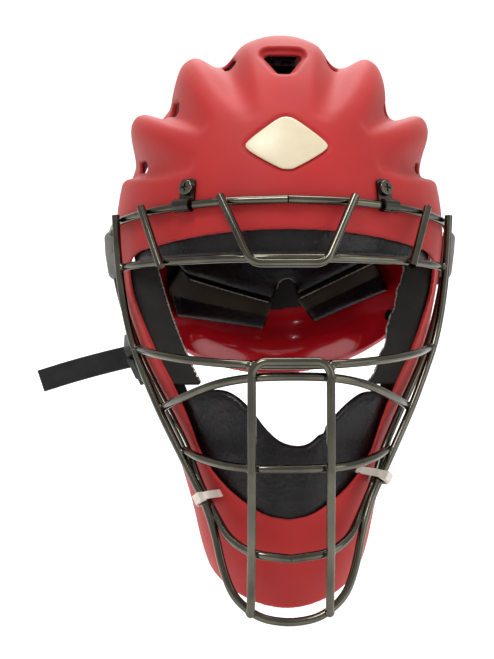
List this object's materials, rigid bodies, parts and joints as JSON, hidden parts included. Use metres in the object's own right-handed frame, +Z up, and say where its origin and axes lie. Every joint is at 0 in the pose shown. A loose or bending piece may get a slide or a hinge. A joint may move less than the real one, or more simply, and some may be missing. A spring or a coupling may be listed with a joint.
{
  "type": "catcher's helmet",
  "caption": "Hard-shell catcher's helmet with ridged crown, welded wire face cage, foam padding, side buckles and a back plate that swings open from the crown.",
  "frame": {"origin": "centre of the wearer's head, midway between the ears", "axes": "+Z up as worn, -Y the way the wearer looks, +X the wearer's left"},
  "size_m": [0.2741, 0.2648, 0.3562],
  "materials": {
    "shell_red": "matte",
    "plate_red": "gloss",
    "badge_cream": "satin",
    "cage_wire": "polished",
    "screw_steel": "satin",
    "clip_steel": "satin",
    "clip_grey": "satin",
    "tie_white": "satin",
    "rivet_steel": "satin",
    "buckle_black": "satin",
    "webbing_black": "matte",
    "pad_cover": "satin"
  },
  "bodies": {
    "helmet": {"front_shell": "shell_red", "badge": "badge_cream", "cage_ring": "cage_wire", "cage_outer_rail": "cage_wire", "cage_brow_loop": "cage_wire", "cage_side_struts": "cage_wire", "cage_eye_bar": "cage_wire", "cage_nose_bar": "cage_wire", "cage_arch_bar": "cage_wire", "cage_mouth_bar": "cage_wire", "cage_chin_loop": "cage_wire", "brow_clip_left": "clip_steel", "brow_clip_right": "clip_steel", "brow_clip_screws": "screw_steel", "brow_clip_nuts": "screw_steel", "side_clip_left": "clip_grey", "side_clip_right": "clip_grey", "side_clip_screws": "screw_steel", "chin_tie_left": "tie_white", "chin_tie_right": "tie_white", "strap_anchor_left": "webbing_black", "strap_anchor_right": "webbing_black", "strap_anchor_rivets": "rivet_steel", "buckle_left": "buckle_black", "buckle_right": "buckle_black", "top_strap_shell_rivets": "rivet_steel", "brow_pad": "pad_cover", "crown_pad": "pad_cover", "temple_pad_left": "pad_cover", "temple_pad_right": "pad_cover", "cheek_pad_left": "pad_cover", "cheek_pad_right": "pad_cover", "chin_cup_pad": "pad_cover"},
    "rear": {"back_plate": "plate_red", "rear_pad_left": "pad_cover", "rear_pad_right": "pad_cover", "rear_upper_pad": "pad_cover", "top_strap": "webbing_black", "top_strap_plate_rivets": "rivet_steel", "side_strap_rivets": "rivet_steel", "side_strap_left": "webbing_black", "side_strap_right": "webbing_black"},
    "tail_left": {"strap_tail_left": "webbing_black"},
    "tail_right": {"strap_tail_right": "webbing_black"}
  },
  "joints": [
    {"name": "back_plate_swing", "type": "hinge", "parent": "helmet", "child": "rear", "pos_m": [0, 0.04, 0.178], "axis": [1, 0, 0], "range_deg": [0, 20], "stiffness_Nm_per_rad": 0.3, "deforming": ["top_strap", "side_strap_left", "side_strap_right"]},
    {"name": "tail_left_swing", "type": "hinge", "parent": "helmet", "child": "tail_left", "pos_m": [0.09556, 0.00048, -0.01671], "axis": [0.3612, -0.3708, 0.8556], "range_deg": [-45, 0]},
    {"name": "tail_right_swing", "type": "hinge", "parent": "helmet", "child": "tail_right", "pos_m": [-0.09556, 0.00048, -0.01671], "axis": [-0.3612, -0.3708, 0.8556], "range_deg": [-45, 45]}
  ]
}
